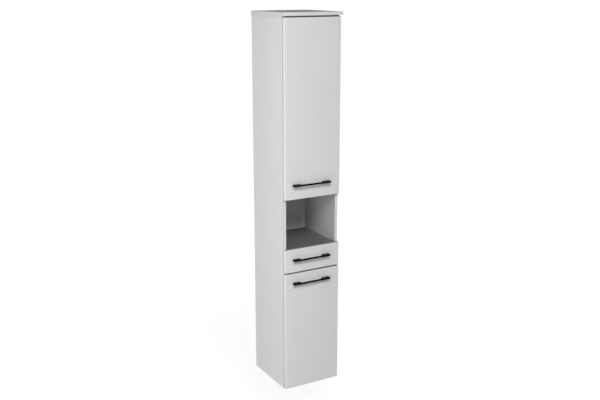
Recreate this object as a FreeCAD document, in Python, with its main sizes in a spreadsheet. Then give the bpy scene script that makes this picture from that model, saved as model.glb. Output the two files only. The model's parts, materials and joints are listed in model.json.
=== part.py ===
"""Wall-hung tall bathroom cabinet: a carcass with an open niche, two doors on cup hinges and a drawer.

Millimetres. Seen from the front +X is right and +Z is up, and +Y points to the wall.
The origin lies on the wall plane, at the bottom of the carcass, half way across its width.
"""

import FreeCAD, Part
import os
import re

import Sketcher
from FreeCAD import Placement, Rotation, Vector

SIZES = {
    # Carcass boards
    "carcass_width": 300,
    "carcass_depth": 303,
    "board": 16,
    "board_round": 1,
    "back_thickness": 3,
    "back_inset": 14,
    "groove_depth": 6,
    "groove_play": 0.1,
    # Cover plate over the carcass
    "cover_thickness": 16,
    "cover_side_overhang": 3.5,
    "cover_front_overhang": 8,
    "cover_round": 1.5,
    # Fronts, from the bottom of the carcass up to its top
    "bottom_reveal": 3,
    "lower_door_height": 595,
    "front_gap": 5.5,
    "drawer_front_height": 116,
    "niche_height": 242.5,
    "upper_door_height": 834,
    "top_reveal": 6,
    "front_thickness": 16,
    "front_reveal": 1.5,
    "front_corner_round": 3,
    "front_face_round": 2.5,
    "front_back_round": 2,
    "bumper_gap": 2,
    "bumper_diameter": 8,
    "bumper_chamfer": 0.8,
    "bumper_inset": 25,
    # Running clearance between faces that move past each other
    "moving_play": 0.3,
    # Loose shelves on pins
    "upper_shelf_high_rise": 530,
    "upper_shelf_low_rise": 262,
    "lower_shelf_rise": 280,
    "shelf_side_play": 0.5,
    "shelf_setback": 12,
    "pin_diameter": 5,
    "pin_hole_depth": 9,
    "pin_reach": 8,
    "pin_chamfer": 0.6,
    "pin_pitch": 32,
    "pin_inset": 40,
    # Bow handles, one flat bar with two wide legs
    "handle_offset": -10,
    "handle_screw_inset": 19.3,
    "handle_leg_width": 40,
    "handle_projection": 22,
    "handle_bar_depth": 7,
    "handle_thickness": 8,
    "handle_end_round": 2,
    "handle_inner_round": 3,
    "handle_edge_round": 0.8,
    "upper_handle_rise": 69,
    "drawer_handle_rise": 63,
    "lower_handle_drop": 49.5,
    # Screws
    "screw_play": 0.1,
    "handle_screw_diameter": 4,
    "handle_screw_grip": 7,
    "handle_screw_head": 8,
    "wood_screw_diameter": 3.5,
    "wood_screw_length": 13,
    "wood_screw_head": 7,
    "screw_head_height": 2,
    "screw_head_chamfer": 0.8,
    "arm_screw_diameter": 4,
    "arm_screw_head": 8,
    "hanger_screw_diameter": 5,
    "hanger_screw_length": 24,
    "hanger_screw_head": 9,
    # Cup hinges with one pivot
    "hinge_inset": 90,
    "pivot_edge": 6.3,
    "pivot_depth": 8,
    "hinge_pin_diameter": 2.4,
    "hinge_pin_play": 0.05,
    "hinge_pin_fit": 0.01,
    "eye_wall": 0.85,
    "cup_diameter": 35,
    "cup_edge": 2.7,
    "cup_floor": 0.9,
    "cup_wall": 1.2,
    "cup_fit": 0.05,
    "slot_play": 0.6,
    "slot_far_reach": 12,
    "pin_boss_wall": 3,
    "flange_thickness": 1,
    "flange_width": 20,
    "flange_round": 8,
    "flange_margin": 6,
    "cup_screw_spacing": 45,
    "arm_width": 7,
    "arm_thickness": 2.2,
    "arm_reach": 10.2,
    "arm_leg": 7,
    "arm_crank": 8,
    "arm_bend_round": 2,
    "plate_inset": 37,
    "plate_length": 36,
    "plate_width": 15,
    "plate_thickness": 3,
    "plate_wing_width": 13,
    "plate_wing_span": 46,
    "plate_screw_spacing": 32,
    "plate_round": 3,
    "arm_screw_offset": 8,
    # Drawer box and its three-part runners
    "drawer_lift": 7,
    "drawer_length": 270,
    "drawer_side_height": 75,
    "drawer_board": 12,
    "drawer_bottom_thickness": 3,
    "drawer_groove_rise": 8,
    "drawer_groove_depth": 5,
    "runner_gap": 12.7,
    "runner_height": 45,
    "runner_sheet": 1.2,
    "runner_flange": 9,
    "runner_length": 250,
    "runner_front_inset": 2,
    # Hangers at the top of the back and their wall rail
    "hanger_width": 20,
    "hanger_depth": 34,
    "hanger_height": 50,
    "hanger_drop": 30,
    "hanger_screw_spacing": 34,
    "hanger_round": 2,
    "hook_thickness": 4,
    "hook_height": 12,
    "hook_nose": 4,
    "hook_nose_drop": 10,
    "hook_setback": 4,
    "window_play": 4,
    "rail_end_play": 6,
    "rail_sheet": 2,
    "rail_stand_off": 9,
    "rail_plate_height": 22,
    "rail_lip_height": 14,
    "wall_screw_spacing": 180,
    "wall_screw_hole": 6.5,
    "wall_screw_rise": 10,
}

# Places that follow from the sizes: heights above the carcass bottom, distances from the middle or the wall.
LAYOUT = {
    "inner_half": "carcass_width / 2 - board",
    "back_face": "back_inset + back_thickness",
    "inner_depth": "carcass_depth - back_face",
    "lower_top": "bottom_reveal + lower_door_height",
    "drawer_bottom": "lower_top + front_gap",
    "drawer_top": "drawer_bottom + drawer_front_height",
    "upper_bottom": "drawer_top + niche_height",
    "upper_top": "upper_bottom + upper_door_height",
    "carcass_height": "upper_top + top_reveal",
    "divider_bottom": "lower_top + front_gap / 2 - board / 2",
    "drawer_floor": "divider_bottom + board + drawer_lift",
    "front_width": "carcass_width - 2 * front_reveal",
    "front_plane": "carcass_depth + bumper_gap",
    "pivot_x": "front_width / 2 - pivot_edge",
    "pivot_y": "front_plane + pivot_depth",
    "eye_radius": "hinge_pin_diameter / 2 + hinge_pin_play + eye_wall",
    "cup_x": "front_width / 2 - cup_edge - cup_diameter / 2",
    "hinge_pin_reach": "sqrt((cup_diameter / 2) ^ 2 - (pivot_x - cup_x + hinge_pin_diameter / 2) ^ 2)",
    "hinge_pin_length": "2 * (hinge_pin_reach - screw_play)",
    "slot_depth": "pivot_depth + eye_radius + slot_play",
    "well_half": "sqrt((cup_diameter / 2 - cup_wall) ^ 2 - slot_far_reach ^ 2)",
    "arm_seat_x": "inner_half - plate_thickness",
    "hinge_lowest": "bottom_reveal + hinge_inset",
    "hinge_low": "lower_top - hinge_inset",
    "hinge_high": "upper_bottom + hinge_inset",
    "hinge_highest": "upper_top - hinge_inset",
    "plate_y": "carcass_depth - plate_inset",
    "drawer_half": "inner_half - runner_gap",
    "drawer_inner_half": "drawer_half - drawer_board",
    "handle_hole_spacing": "2 * (drawer_inner_half - abs(handle_offset) - handle_screw_inset)",
    "handle_half": "(handle_hole_spacing + handle_leg_width) / 2",
    "runner_z": "drawer_floor + drawer_side_height / 2",
    "runner_rear": "carcass_depth - runner_front_inset - runner_length",
    "hanger_x": "inner_half - hanger_width / 2",
    "hanger_z": "carcass_height - board - hanger_drop - hanger_height / 2",
    "hook_bottom": "hanger_z - hook_height / 2",
    "rail_bottom": "hook_bottom - rail_lip_height - rail_plate_height",
    "rail_length": "2 * (inner_half - rail_end_play)",
}

# Undersides of the loose shelves.
SHELVES = {
    "upper_shelf_high": "upper_bottom + board + upper_shelf_high_rise",
    "upper_shelf_low": "upper_bottom + board + upper_shelf_low_rise",
    "lower_shelf": "board + lower_shelf_rise",
}
# Hinge heights, by the door that they carry.
HINGES = {
    "lower_door": {"bottom": "hinge_lowest", "top": "hinge_low"},
    "upper_door": {"bottom": "hinge_high", "top": "hinge_highest"},
}
# Heights of the handles' middle planes.
HANDLES = {
    "upper_handle": "upper_bottom + upper_handle_rise",
    "drawer_handle": "drawer_bottom + drawer_handle_rise",
    "lower_handle": "lower_top - lower_handle_drop",
}
SIDES = {"left": -1, "right": 1}
NEAR = 1e-3

doc = FreeCAD.newDocument("TallCabinet")
pieces = []


def bound(text):
    """Write plain size names as references to the sheets that hold them."""

    def reference(match):
        word = match[0]
        if word in SIZES:
            return f"Sizes.{word}"
        return f"Layout.{word}" if word in LAYOUT else word

    return re.sub(r"[a-z][a-z_]+", reference, text)


def fill_sheet(name, cells):
    """A sheet with a name and a value in each row, the value under that name as its alias."""
    sheet = doc.addObject("Spreadsheet::Sheet", name)
    for row, (alias, content) in enumerate(cells.items(), start=1):
        sheet.set(f"A{row}", alias)
        sheet.set(f"B{row}", content)
        sheet.setAlias(f"B{row}", alias)
    doc.recompute()
    return sheet


sizes = fill_sheet("Sizes", {alias: str(size) for alias, size in SIZES.items()})
layout = fill_sheet("Layout", {alias: f"={bound(text)}" for alias, text in LAYOUT.items()})


def number(text):
    """The present value of an expression in size names."""
    return float(sizes.evalExpression(bound(text)))


def near(value, text):
    """Whether a measured coordinate is the value of an expression."""
    return abs(value - number(text)) < NEAR


def new_body(label, x="0", y="0", z="0", kept=True):
    """A body whose placement is bound to expressions; kept bodies are written as nodes."""
    owner = doc.addObject("PartDesign::Body", label)
    owner.Label = label
    for axis, text in zip("xyz", (x, y, z)):
        owner.setExpression(f".Placement.Base.{axis}", bound(text))
    if kept:
        pieces.append(owner)
    return owner


def pin_point(sketch, geometry, position, point):
    """Hold a sketch point at a pair of expressions measured from the sketch's origin."""
    for kind, axis, text in zip(("DistanceX", "DistanceY"), (-2, -1), point):
        if near(0, text):
            sketch.addConstraint(Sketcher.Constraint("PointOnObject", geometry, position, axis))
        else:
            held = Sketcher.Constraint(kind, -1, 1, geometry, position, number(text))
            index = sketch.addConstraint(held)
            sketch.setExpression(f"Constraints[{index}]", bound(text))


def draw(owner, plane_role, outlines=(), circles=()):
    """A sketch on an origin plane of the body: closed outlines of corners, and circles."""
    sketch = owner.newObject("Sketcher::SketchObject", f"{owner.Name}_sketch")
    plane = next(item for item in owner.Origin.OriginFeatures if item.Role == plane_role)
    sketch.AttachmentSupport = [(plane, "")]
    sketch.MapMode = "FlatFace"
    for corners in outlines:
        points = [Vector(number(across), number(along), 0) for across, along in corners]
        lines = [Part.LineSegment(a, b) for a, b in zip(points, points[1:] + points[:1])]
        first = sketch.addGeometry(lines, False)[0]
        for step, corner in enumerate(corners):
            following = first + (step + 1) % len(corners)
            sketch.addConstraint(Sketcher.Constraint("Coincident", first + step, 2, following, 1))
            pin_point(sketch, first + step, 1, corner)
    for centre, diameter in circles:
        middle = Vector(number(centre[0]), number(centre[1]), 0)
        ring = sketch.addGeometry(Part.Circle(middle, Vector(0, 0, 1), number(diameter) / 2), False)
        pin_point(sketch, ring, 3, centre)
        index = sketch.addConstraint(Sketcher.Constraint("Diameter", ring, number(diameter)))
        sketch.setExpression(f"Constraints[{index}]", bound(diameter))
    return sketch


def extrude(owner, kind, sketch, length, reverse=False, side="One side"):
    """A Pad or Pocket of a sketch; a pocket that takes nothing away is an error."""
    before = owner.Shape.Volume if owner.Tip else 0
    feature = owner.newObject(f"PartDesign::{kind}", f"{owner.Name}_{kind}")
    feature.Profile = sketch
    feature.SideType = side
    feature.Reversed = reverse
    feature.setExpression("Length", bound(length))
    doc.recompute()
    if kind == "Pocket" and owner.Shape.Volume > before - NEAR:
        raise ValueError(f"a pocket of {owner.Label} takes nothing away")


def drill(owner, plane_role, centres, diameter, depth, reverse=False, side="One side"):
    """Round holes of one diameter and depth."""
    sketch = draw(owner, plane_role, circles=[(centre, diameter) for centre in centres])
    extrude(owner, "Pocket", sketch, depth, reverse, side)


def dress(owner, kind, measure, size, chosen):
    """A Fillet or Chamfer on those edges of the body whose bounding box passes the test."""
    edges = owner.Tip.Shape.Edges
    names = [f"Edge{index}" for index, edge in enumerate(edges, start=1) if chosen(edge.BoundBox)]
    base = owner.Tip
    feature = owner.newObject(f"PartDesign::{kind}", f"{owner.Name}_{kind}")
    feature.Base = (base, names)
    feature.setExpression(measure, bound(size))
    doc.recompute()


def ease(owner, radius, chosen):
    """Round the chosen edges."""
    dress(owner, "Fillet", "Radius", radius, chosen)


def bevel(owner, size, chosen):
    """Chamfer the chosen edges at 45 degrees."""
    dress(owner, "Chamfer", "Size", size, chosen)


def rectangle(x_low, y_low, x_high, y_high):
    """Corners of a rectangle, anticlockwise."""
    return [(x_low, y_low), (x_high, y_low), (x_high, y_high), (x_low, y_high)]


def upright(box):
    """Whether an edge's box is a vertical line."""
    return box.XLength < NEAR and box.YLength < NEAR


def group(label, master, places):
    """One node of equal pieces: the master's solid at each point, its axis turned to a direction."""
    copies = []
    for point, direction in places:
        copy = master.Shape.copy()
        turn = Rotation(Vector(0, 0, 1), Vector(*direction))
        copy.Placement = Placement(Vector(*(number(text) for text in point)), turn)
        copies.append(copy)
    node = doc.addObject("Part::Feature", label)
    node.Label = label
    node.Shape = Part.makeCompound(copies)
    pieces.append(node)


def screw(label, diameter, length, head):
    """A pan-head screw along Z, its seat at the origin; a master for groups."""
    owner = new_body(label, kept=False)
    extrude(owner, "Pad", draw(owner, "XY_Plane", circles=[(("0", "0"), head)]), "screw_head_height")
    bevel(owner, "screw_head_chamfer", lambda box: near(box.ZMin, "screw_head_height"))
    shank = draw(owner, "XY_Plane", circles=[(("0", "0"), diameter)])
    extrude(owner, "Pad", shank, length, reverse=True)
    return owner


def hinge_heights():
    """The heights of all hinges on the right-hand side panel."""
    return [height for heights in HINGES.values() for height in heights.values()]


def handle_holes():
    """Where each handle's two screws pass through its front, across the cabinet."""
    return [f"handle_offset + {hand} * handle_hole_spacing / 2" for hand in SIDES.values()]


def pin_centres(steps):
    """Depth and height of each shelf-pin hole in a side panel, so many holes from each shelf's own."""
    columns = ("-(carcass_depth - pin_inset)", "-(back_face + pin_inset)")
    return [
        (column, f"{underside} - pin_diameter / 2 + {step} * pin_pitch")
        for underside in SHELVES.values()
        for step in steps
        for column in columns
    ]


def side_panel(hand, label):
    """A side board: grooved for the back panel and drilled on its inner face."""
    owner = new_body(label, x=f"{hand} * inner_half")
    groove_front = "-(back_face + groove_play)"
    groove_back = "-(back_inset - groove_play)"
    profile = [
        ("0", "-carcass_depth"),
        (f"{hand} * board", "-carcass_depth"),
        (f"{hand} * board", "0"),
        ("0", "0"),
        ("0", groove_back),
        (f"{hand} * groove_depth", groove_back),
        (f"{hand} * groove_depth", groove_front),
        ("0", groove_front),
    ]
    extrude(owner, "Pad", draw(owner, "XY_Plane", [profile]), "carcass_height")
    ease(owner, "board_round", lambda box: upright(box) and near(box.YMin, "-carcass_depth"))
    outward = hand > 0
    pin_holes = pin_centres(steps=(-1, 0, 1))
    drill(owner, "YZ_Plane", pin_holes, "pin_diameter", "pin_hole_depth", reverse=outward)
    if hand > 0:
        screws = [
            ("-plate_y", f"{height} + {step} * plate_screw_spacing / 2")
            for height in hinge_heights()
            for step in (-1, 1)
        ]
        depth = "wood_screw_length - plate_thickness + screw_play"
        drill(owner, "YZ_Plane", screws, "wood_screw_diameter", depth, reverse=outward)


def flat_board(label, half_width, depth, rear, z):
    """A level board between the sides, its front edges eased."""
    owner = new_body(label, y=f"-({rear})", z=z)
    outline = rectangle(f"-({half_width})", f"-({depth})", half_width, "0")
    extrude(owner, "Pad", draw(owner, "XY_Plane", [outline]), "board")
    ease(owner, "board_round", lambda box: near(box.YMin, f"-({depth})") and box.XLength > NEAR)


def back_panel():
    """A thin board in the side grooves, with a window for each hanger hook."""
    owner = new_body("back_panel", y="-back_inset", z="board")
    half = "inner_half + groove_depth - groove_play"
    outlines = [rectangle(f"-({half})", "0", half, "carcass_height - board")]
    for hand in SIDES.values():
        middle = f"{hand} * hanger_x"
        across = "hook_thickness / 2 + window_play"
        outlines.append(
            rectangle(
                f"{middle} - ({across})",
                "hook_bottom - board - window_play",
                f"{middle} + ({across})",
                "hook_bottom - board + hook_height + window_play",
            )
        )
    extrude(owner, "Pad", draw(owner, "XZ_Plane", outlines), "back_thickness")


def cover_top():
    """The cover plate: it stands out past the sides and the fronts, and every edge is eased."""
    owner = new_body("cover_top", z="carcass_height")
    half = "carcass_width / 2 + cover_side_overhang"
    front = "-(front_plane + front_thickness + cover_front_overhang)"
    outline = rectangle(f"-({half})", front, half, "0")
    extrude(owner, "Pad", draw(owner, "XY_Plane", [outline]), "cover_thickness")
    ease(owner, "cover_round", lambda box: True)


def shelf_pins():
    """Plain round pins under the loose shelves, half in the side panels."""
    master = new_body("shelf_pin", kept=False)
    profile = draw(master, "XY_Plane", circles=[(("0", "0"), "pin_diameter - 2 * screw_play")])
    extrude(master, "Pad", profile, "pin_hole_depth - screw_play + pin_reach")
    bevel(master, "pin_chamfer", lambda box: box.ZLength < NEAR)
    places = [
        ((f"{hand} * (inner_half + pin_hole_depth - screw_play)", column, height), (-hand, 0, 0))
        for hand in SIDES.values()
        for column, height in pin_centres(steps=(0,))
    ]
    group("shelf_pins", master, places)


def hanger(hand, side):
    """A hanger housing in a rear top corner and the steel hook that runs through it to the wall rail."""
    housing = new_body(f"hanger_housing_{side}", x=f"{hand} * hanger_x", y="-back_face", z="hanger_z")
    half_slot = "hook_thickness / 2 + moving_play"
    half_rise = "hook_height / 2 + moving_play"
    outlines = [
        rectangle("-hanger_width / 2", "-hanger_height / 2", "hanger_width / 2", "hanger_height / 2"),
        rectangle(f"-({half_slot})", f"-({half_rise})", half_slot, half_rise),
    ]
    holes = [
        (("0", f"{step} * hanger_screw_spacing / 2"), "hanger_screw_diameter + 2 * screw_play")
        for step in (-1, 1)
    ]
    extrude(housing, "Pad", draw(housing, "XZ_Plane", outlines, holes), "hanger_depth")
    inner_x = f"{-hand} * hanger_width / 2"
    ease(housing, "hanger_round", lambda box: near(box.XMin, inner_x) and near(box.XMax, inner_x))

    hook = new_body(f"hanger_hook_{side}", x=f"{hand} * hanger_x", z="hook_bottom")
    start = "-(back_face + hanger_depth - hook_setback)"
    nose_front = "-(rail_stand_off - rail_sheet - moving_play)"
    nose_rear = f"{nose_front} + hook_nose"
    profile = [
        (start, "0"),
        (nose_front, "0"),
        (nose_front, "-hook_nose_drop"),
        (nose_rear, "-hook_nose_drop"),
        (nose_rear, "hook_height"),
        (start, "hook_height"),
    ]
    extrude(hook, "Pad", draw(hook, "YZ_Plane", [profile]), "hook_thickness", side="Symmetric")


def wall_rail():
    """A bent steel rail on the wall: a screwed plate, a step out and a lip that carries the hooks."""
    owner = new_body("wall_rail", z="rail_bottom")
    lip_rear = "-(rail_stand_off - rail_sheet)"
    lip_top = "rail_plate_height + rail_lip_height"
    profile = [
        ("0", "0"),
        ("0", "rail_plate_height"),
        (lip_rear, "rail_plate_height"),
        (lip_rear, lip_top),
        ("-rail_stand_off", lip_top),
        ("-rail_stand_off", "rail_plate_height - rail_sheet"),
        ("-rail_sheet", "rail_plate_height - rail_sheet"),
        ("-rail_sheet", "0"),
    ]
    extrude(owner, "Pad", draw(owner, "YZ_Plane", [profile]), "rail_length", side="Symmetric")
    bends = (("0", "rail_plate_height"), ("-rail_stand_off", "rail_plate_height - rail_sheet"))

    def bent(box):
        along = box.YLength < NEAR and box.ZLength < NEAR
        return along and any(near(box.YMin, depth) and near(box.ZMin, rise) for depth, rise in bends)

    ease(owner, "rail_sheet", bent)
    holes = [(f"{hand} * wall_screw_spacing / 2", "wall_screw_rise") for hand in SIDES.values()]
    drill(owner, "XZ_Plane", holes, "wall_screw_hole", "rail_sheet", reverse=True)


def front(label, z, height, handle_rise, hinge_rises=()):
    """A door or drawer front: rounded corners and edges, drilled from its back face."""
    owner = new_body(label, y="-front_plane", z=z)
    outline = rectangle("-front_width / 2", "0", "front_width / 2", height)
    extrude(owner, "Pad", draw(owner, "XZ_Plane", [outline]), "front_thickness")
    ease(owner, "front_corner_round", lambda box: box.YLength > NEAR)
    ease(owner, "front_face_round", lambda box: near(box.YMax, "-front_thickness"))
    ease(owner, "front_back_round", lambda box: near(box.YMin, "0"))
    screws = [(x, handle_rise) for x in handle_holes()]
    hole = "handle_screw_diameter + 2 * screw_play"
    drill(owner, "XZ_Plane", screws, hole, "front_thickness", reverse=True)
    if hinge_rises:
        cups = [("cup_x", rise) for rise in hinge_rises]
        depth = "slot_depth + cup_floor + cup_fit"
        drill(owner, "XZ_Plane", cups, "cup_diameter + 2 * cup_fit", depth, reverse=True)
        fixings = [
            ("cup_x", f"{rise} + {step} * cup_screw_spacing / 2") for rise in hinge_rises for step in (-1, 1)
        ]
        depth = "wood_screw_length - flange_thickness + screw_play"
        drill(owner, "XZ_Plane", fixings, "wood_screw_diameter", depth, reverse=True)


def handle(label, z):
    """A flat bow handle: two wide legs on the front, a slim bar between them, square ends."""
    foot = "-(front_plane + front_thickness)"
    owner = new_body(label, x="handle_offset", y=foot, z=f"{z} - handle_thickness / 2")
    leg_inside = "handle_half - handle_leg_width"
    bar_rear = "-(handle_projection - handle_bar_depth)"
    outline = [
        ("-handle_half", "0"),
        ("-handle_half", "-handle_projection"),
        ("handle_half", "-handle_projection"),
        ("handle_half", "0"),
        (leg_inside, "0"),
        (leg_inside, bar_rear),
        (f"-({leg_inside})", bar_rear),
        (f"-({leg_inside})", "0"),
    ]
    extrude(owner, "Pad", draw(owner, "XY_Plane", [outline]), "handle_thickness")
    ease(owner, "handle_end_round", lambda box: upright(box) and near(box.YMin, "-handle_projection"))
    ease(owner, "handle_inner_round", lambda box: upright(box) and near(box.YMin, bar_rear))
    ease(owner, "handle_edge_round", lambda box: box.ZLength < NEAR and not near(box.YMin, "0"))
    holes = [(f"{hand} * handle_hole_spacing / 2", "handle_thickness / 2") for hand in SIDES.values()]
    depth = "handle_screw_grip + screw_play"
    drill(owner, "XZ_Plane", holes, "handle_screw_diameter", depth, reverse=True)


def hinge(door, end, z):
    """A one-pivot cup hinge: an open cup with two pin bosses, and the curved arm on its plate."""
    eye_x = "pivot_x - cup_x"
    cup = new_body(f"hinge_cup_{door}_{end}", x="cup_x", y="-front_plane", z=z)
    round_cup = draw(cup, "XZ_Plane", circles=[(("0", "0"), "cup_diameter")])
    extrude(cup, "Pad", round_cup, "slot_depth + cup_floor")
    reach = "cup_screw_spacing / 2 + flange_margin"
    flange = draw(cup, "XZ_Plane", [rectangle("-flange_width / 2", f"-({reach})", "flange_width / 2", reach)])
    extrude(cup, "Pad", flange, "flange_thickness", reverse=True)
    ease(cup, "flange_round", lambda box: box.XLength < NEAR and box.ZLength < NEAR and box.YMax > NEAR)
    slot_half = "arm_width / 2 + slot_play"
    slot_end = f"{eye_x} + eye_radius + slot_play"
    boss = f"{eye_x} - hinge_pin_diameter / 2 - pin_boss_wall"
    well = [
        ("-slot_far_reach", "-well_half"),
        (boss, "-well_half"),
        (boss, f"-({slot_half})"),
        (slot_end, f"-({slot_half})"),
        (slot_end, slot_half),
        (boss, slot_half),
        (boss, "well_half"),
        ("-slot_far_reach", "well_half"),
    ]
    extrude(cup, "Pocket", draw(cup, "XZ_Plane", [well]), "slot_depth", reverse=True)
    mouth = rectangle("-slot_far_reach", "-well_half", slot_end, "well_half")
    extrude(cup, "Pocket", draw(cup, "XZ_Plane", [mouth]), "flange_thickness")
    pivot = [(eye_x, "-pivot_depth")]
    bore = "hinge_pin_diameter + 2 * hinge_pin_fit"
    drill(cup, "XY_Plane", pivot, bore, "cup_diameter", side="Symmetric")
    screws = [("0", f"{step} * cup_screw_spacing / 2") for step in (-1, 1)]
    drill(cup, "XZ_Plane", screws, "wood_screw_diameter + 2 * screw_play", "flange_thickness")

    arm = new_body(f"hinge_arm_{door}_{end}", x="arm_seat_x", y="-pivot_y", z=z)
    pivot_x = "pivot_x - arm_seat_x"
    leg_left = f"{pivot_x} - arm_reach - arm_thickness / 2"
    leg_right = f"{leg_left} + arm_thickness"
    leg_end = "pivot_y - carcass_depth + arm_leg"
    seat_front = f"{leg_end} + arm_crank"
    seat_rear = "pivot_y - plate_y + plate_length / 2"
    strip = [
        (pivot_x, "-arm_thickness / 2"),
        (pivot_x, "arm_thickness / 2"),
        (leg_right, "arm_thickness / 2"),
        (leg_right, leg_end),
        ("0", seat_front),
        ("0", seat_rear),
        ("-arm_thickness", seat_rear),
        ("-arm_thickness", seat_front),
        (leg_left, leg_end),
        (leg_left, "-arm_thickness / 2"),
    ]
    extrude(arm, "Pad", draw(arm, "XY_Plane", [strip]), "arm_width", side="Symmetric")
    outer_bend = "arm_bend_round + arm_thickness"
    ease(arm, outer_bend, lambda box: upright(box) and near(box.XMin, leg_left) and box.YMin < 0)
    inner_corner = "arm_thickness / 2"
    ease(
        arm,
        "arm_bend_round",
        lambda box: upright(box) and near(box.XMin, leg_right) and near(box.YMin, inner_corner),
    )
    eye = draw(arm, "XY_Plane", circles=[((pivot_x, "0"), "2 * eye_radius")])
    extrude(arm, "Pad", eye, "arm_width", side="Symmetric")
    bore = "hinge_pin_diameter + 2 * hinge_pin_play"
    drill(arm, "XY_Plane", [(pivot_x, "0")], bore, "2 * arm_width", side="Symmetric")
    saddle_front = f"{seat_rear} - plate_length"
    saddle = rectangle(saddle_front, "-plate_width / 2", seat_rear, "plate_width / 2")
    extrude(arm, "Pad", draw(arm, "YZ_Plane", [saddle]), "arm_thickness", reverse=True)
    screw_y = "pivot_y - plate_y + arm_screw_offset"
    screw_hole = "arm_screw_diameter + 2 * screw_play"
    drill(arm, "YZ_Plane", [(screw_y, "0")], screw_hole, "arm_thickness")

    plate = new_body(f"hinge_plate_{door}_{end}", x="inner_half", y="-plate_y", z=z)
    along, across = "plate_length / 2", "plate_width / 2"
    wing, span = "plate_wing_width / 2", "plate_wing_span / 2"
    cross = [
        (f"-{along}", f"-{across}"),
        (f"-{wing}", f"-{across}"),
        (f"-{wing}", f"-{span}"),
        (wing, f"-{span}"),
        (wing, f"-{across}"),
        (along, f"-{across}"),
        (along, across),
        (wing, across),
        (wing, span),
        (f"-{wing}", span),
        (f"-{wing}", across),
        (f"-{along}", across),
    ]
    extrude(plate, "Pad", draw(plate, "YZ_Plane", [cross]), "plate_thickness", reverse=True)
    ease(plate, "plate_round", lambda box: box.XLength > NEAR and near(abs(box.ZMin), span))
    wood_hole = "wood_screw_diameter + 2 * screw_play"
    wings = [("0", f"{step} * plate_screw_spacing / 2") for step in (-1, 1)]
    drill(plate, "YZ_Plane", wings, wood_hole, "plate_thickness")
    drill(plate, "YZ_Plane", [("arm_screw_offset", "0")], "arm_screw_diameter", "plate_thickness")


def drawer_side(hand, label):
    """A drawer side, grooved for the bottom."""
    rear = "front_plane - drawer_length"
    owner = new_body(label, x=f"{hand} * drawer_half", y=f"-({rear})", z="drawer_floor")
    inner = f"{-hand} * drawer_board"
    groove = f"{-hand} * (drawer_board - drawer_groove_depth)"
    groove_low = "drawer_groove_rise - groove_play"
    groove_high = "drawer_groove_rise + drawer_bottom_thickness + groove_play"
    profile = [
        ("0", "0"),
        ("0", "drawer_side_height"),
        (inner, "drawer_side_height"),
        (inner, groove_high),
        (groove, groove_high),
        (groove, groove_low),
        (inner, groove_low),
        (inner, "0"),
    ]
    extrude(owner, "Pad", draw(owner, "XZ_Plane", [profile]), "drawer_length")
    ease(owner, "board_round", lambda box: box.YLength > NEAR and near(box.ZMin, "drawer_side_height"))


def drawer_back_and_bottom():
    """The drawer's back board, and the thin bottom that runs in under it."""
    rear = "front_plane - drawer_length"
    half = "drawer_inner_half"
    back = new_body("drawer_back", y=f"-({rear})", z="drawer_floor")
    low = "drawer_groove_rise + drawer_bottom_thickness"
    outline = rectangle(f"-({half})", low, half, "drawer_side_height")
    extrude(back, "Pad", draw(back, "XZ_Plane", [outline]), "drawer_board")
    ease(back, "board_round", lambda box: box.XLength > NEAR and near(box.ZMin, "drawer_side_height"))

    bottom = new_body("drawer_bottom", y=f"-({rear})", z="drawer_floor + drawer_groove_rise")
    wide = f"{half} + drawer_groove_depth - groove_play"
    outline = rectangle(f"-({wide})", "-drawer_length", wide, "0")
    extrude(bottom, "Pad", draw(bottom, "XY_Plane", [outline]), "drawer_bottom_thickness")


def runner(hand, side):
    """A three-part runner: the cabinet rail, the middle rail inside it and the drawer rail inside that."""

    def rail(label, half_profile, bends):
        """A rail from half of its section; the first so many corners are the outsides of its bends."""
        owner = new_body(label, x=f"{hand} * inner_half", y="-runner_rear", z="runner_z")
        lower = [(f"{-hand} * ({inward})", f"-({rise})") for inward, rise in half_profile]
        upper = [(f"{-hand} * ({inward})", rise) for inward, rise in reversed(half_profile)]
        extrude(owner, "Pad", draw(owner, "XZ_Plane", [lower + upper]), "runner_length")

        def bent(box):
            return box.YLength > NEAR and any(
                near(box.XMin, f"{-hand} * ({inward})") and near(abs(box.ZMin), rise)
                for inward, rise in half_profile[:bends]
            )

        ease(owner, "runner_sheet", bent)

    sheet = "runner_sheet"
    high = "runner_height / 2"
    inside = f"{high} - {sheet}"
    lip_inner = "runner_flange - runner_sheet"
    lip_end = f"{inside} - {sheet} - moving_play"
    rail(
        f"runner_cabinet_rail_{side}",
        [
            ("0", high),
            ("runner_flange", high),
            ("runner_flange", lip_end),
            (lip_inner, lip_end),
            (lip_inner, inside),
            (sheet, inside),
        ],
        bends=2,
    )
    middle_high = f"{inside} - moving_play"
    middle_web = f"{sheet} + moving_play"
    middle_end = f"{lip_inner} - moving_play"
    rail(
        f"runner_middle_rail_{side}",
        [
            (middle_web, middle_high),
            (middle_end, middle_high),
            (middle_end, f"{middle_high} - {sheet}"),
            (f"{middle_web} + {sheet}", f"{middle_high} - {sheet}"),
        ],
        bends=1,
    )
    drawer_high = f"{middle_high} - {sheet} - moving_play"
    drawer_end = f"{middle_web} + {sheet} + moving_play"
    rail(
        f"runner_drawer_rail_{side}",
        [
            ("runner_gap", drawer_high),
            (drawer_end, drawer_high),
            (drawer_end, f"{drawer_high} - {sheet}"),
            (f"runner_gap - {sheet}", f"{drawer_high} - {sheet}"),
        ],
        bends=1,
    )


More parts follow.
